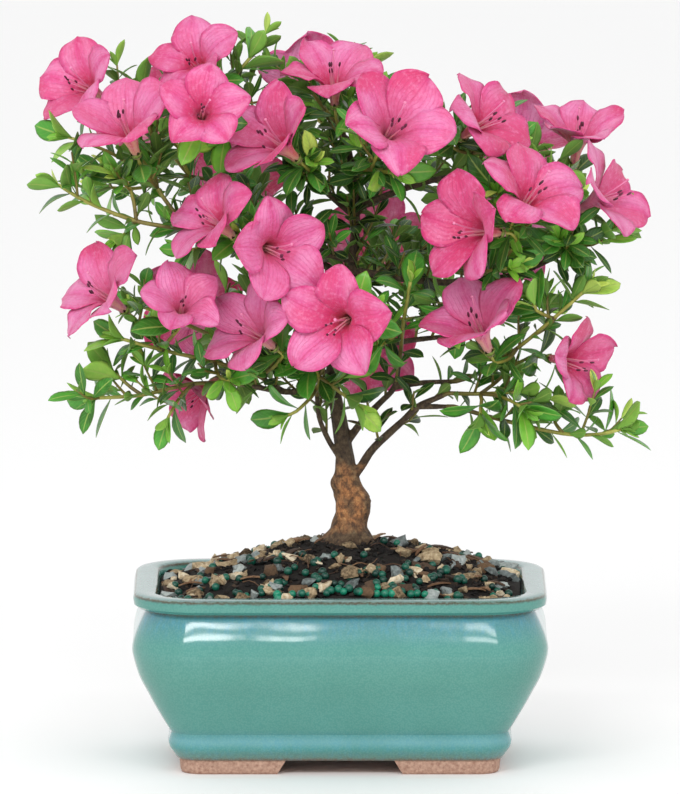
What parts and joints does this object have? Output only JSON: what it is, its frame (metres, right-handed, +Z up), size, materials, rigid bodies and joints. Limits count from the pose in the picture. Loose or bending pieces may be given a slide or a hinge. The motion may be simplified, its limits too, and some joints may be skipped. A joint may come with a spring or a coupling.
{
  "type": "azalea bonsai",
  "caption": "Azalea bonsai with a short bare trunk, spreading leafy branches and open pink flowers, growing in a rectangular glazed stoneware pot on corner feet.",
  "frame": {"origin": "on the table, at the middle of the pot's feet, which is also the middle of the whole outline seen from above", "axes": "+X along the pot's long side to the viewer's right, -Y out of the front, +Z up"},
  "size_m": [0.2398, 0.1609, 0.2927],
  "materials": {
    "glazed_stoneware": "glossy",
    "potting_mix": "rough",
    "mesh_plastic": "matte",
    "bark": "rough",
    "leaves": "satin",
    "petals": "satin"
  },
  "bodies": {
    "root": {"drain_screen_left": "mesh_plastic", "drain_screen_right": "mesh_plastic", "flower_01": "petals", "flower_02": "petals", "flower_03": "petals", "flower_04": "petals", "flower_05": "petals", "flower_06": "petals", "flower_07": "petals", "flower_08": "petals", "flower_09": "petals", "flower_10": "petals", "flower_11": "petals", "flower_12": "petals", "flower_13": "petals", "flower_14": "petals", "flower_15": "petals", "flower_16": "petals", "flower_17": "petals", "flower_18": "petals", "flower_19": "petals", "flower_20": "petals", "flower_21": "petals", "flower_22": "petals", "flower_23": "petals", "flower_24": "petals", "flower_25": "petals", "flower_26": "petals", "flower_27": "petals", "flower_28": "petals", "flower_29": "petals", "pot": "glazed_stoneware", "potting_mix": "potting_mix", "shoot_back_left": "leaves", "shoot_back_low": "leaves", "shoot_back_low_left": "leaves", "shoot_back_right": "leaves", "shoot_back_top": "leaves", "shoot_high_left": "leaves", "shoot_left_inner": "leaves", "shoot_left_low": "leaves", "shoot_left_middle": "leaves", "shoot_left_tip": "leaves", "shoot_middle": "leaves", "shoot_middle_fresh": "leaves", "shoot_middle_low": "leaves", "shoot_right": "leaves", "shoot_right_low": "leaves", "shoot_right_low_tip": "leaves", "shoot_right_main": "leaves", "shoot_right_top": "leaves", "shoot_top": "leaves", "shoot_top_front": "leaves", "shoot_top_left": "leaves", "shoot_top_middle": "leaves", "shoot_top_right": "leaves", "trunk": "bark"}
  },
  "joints": []
}
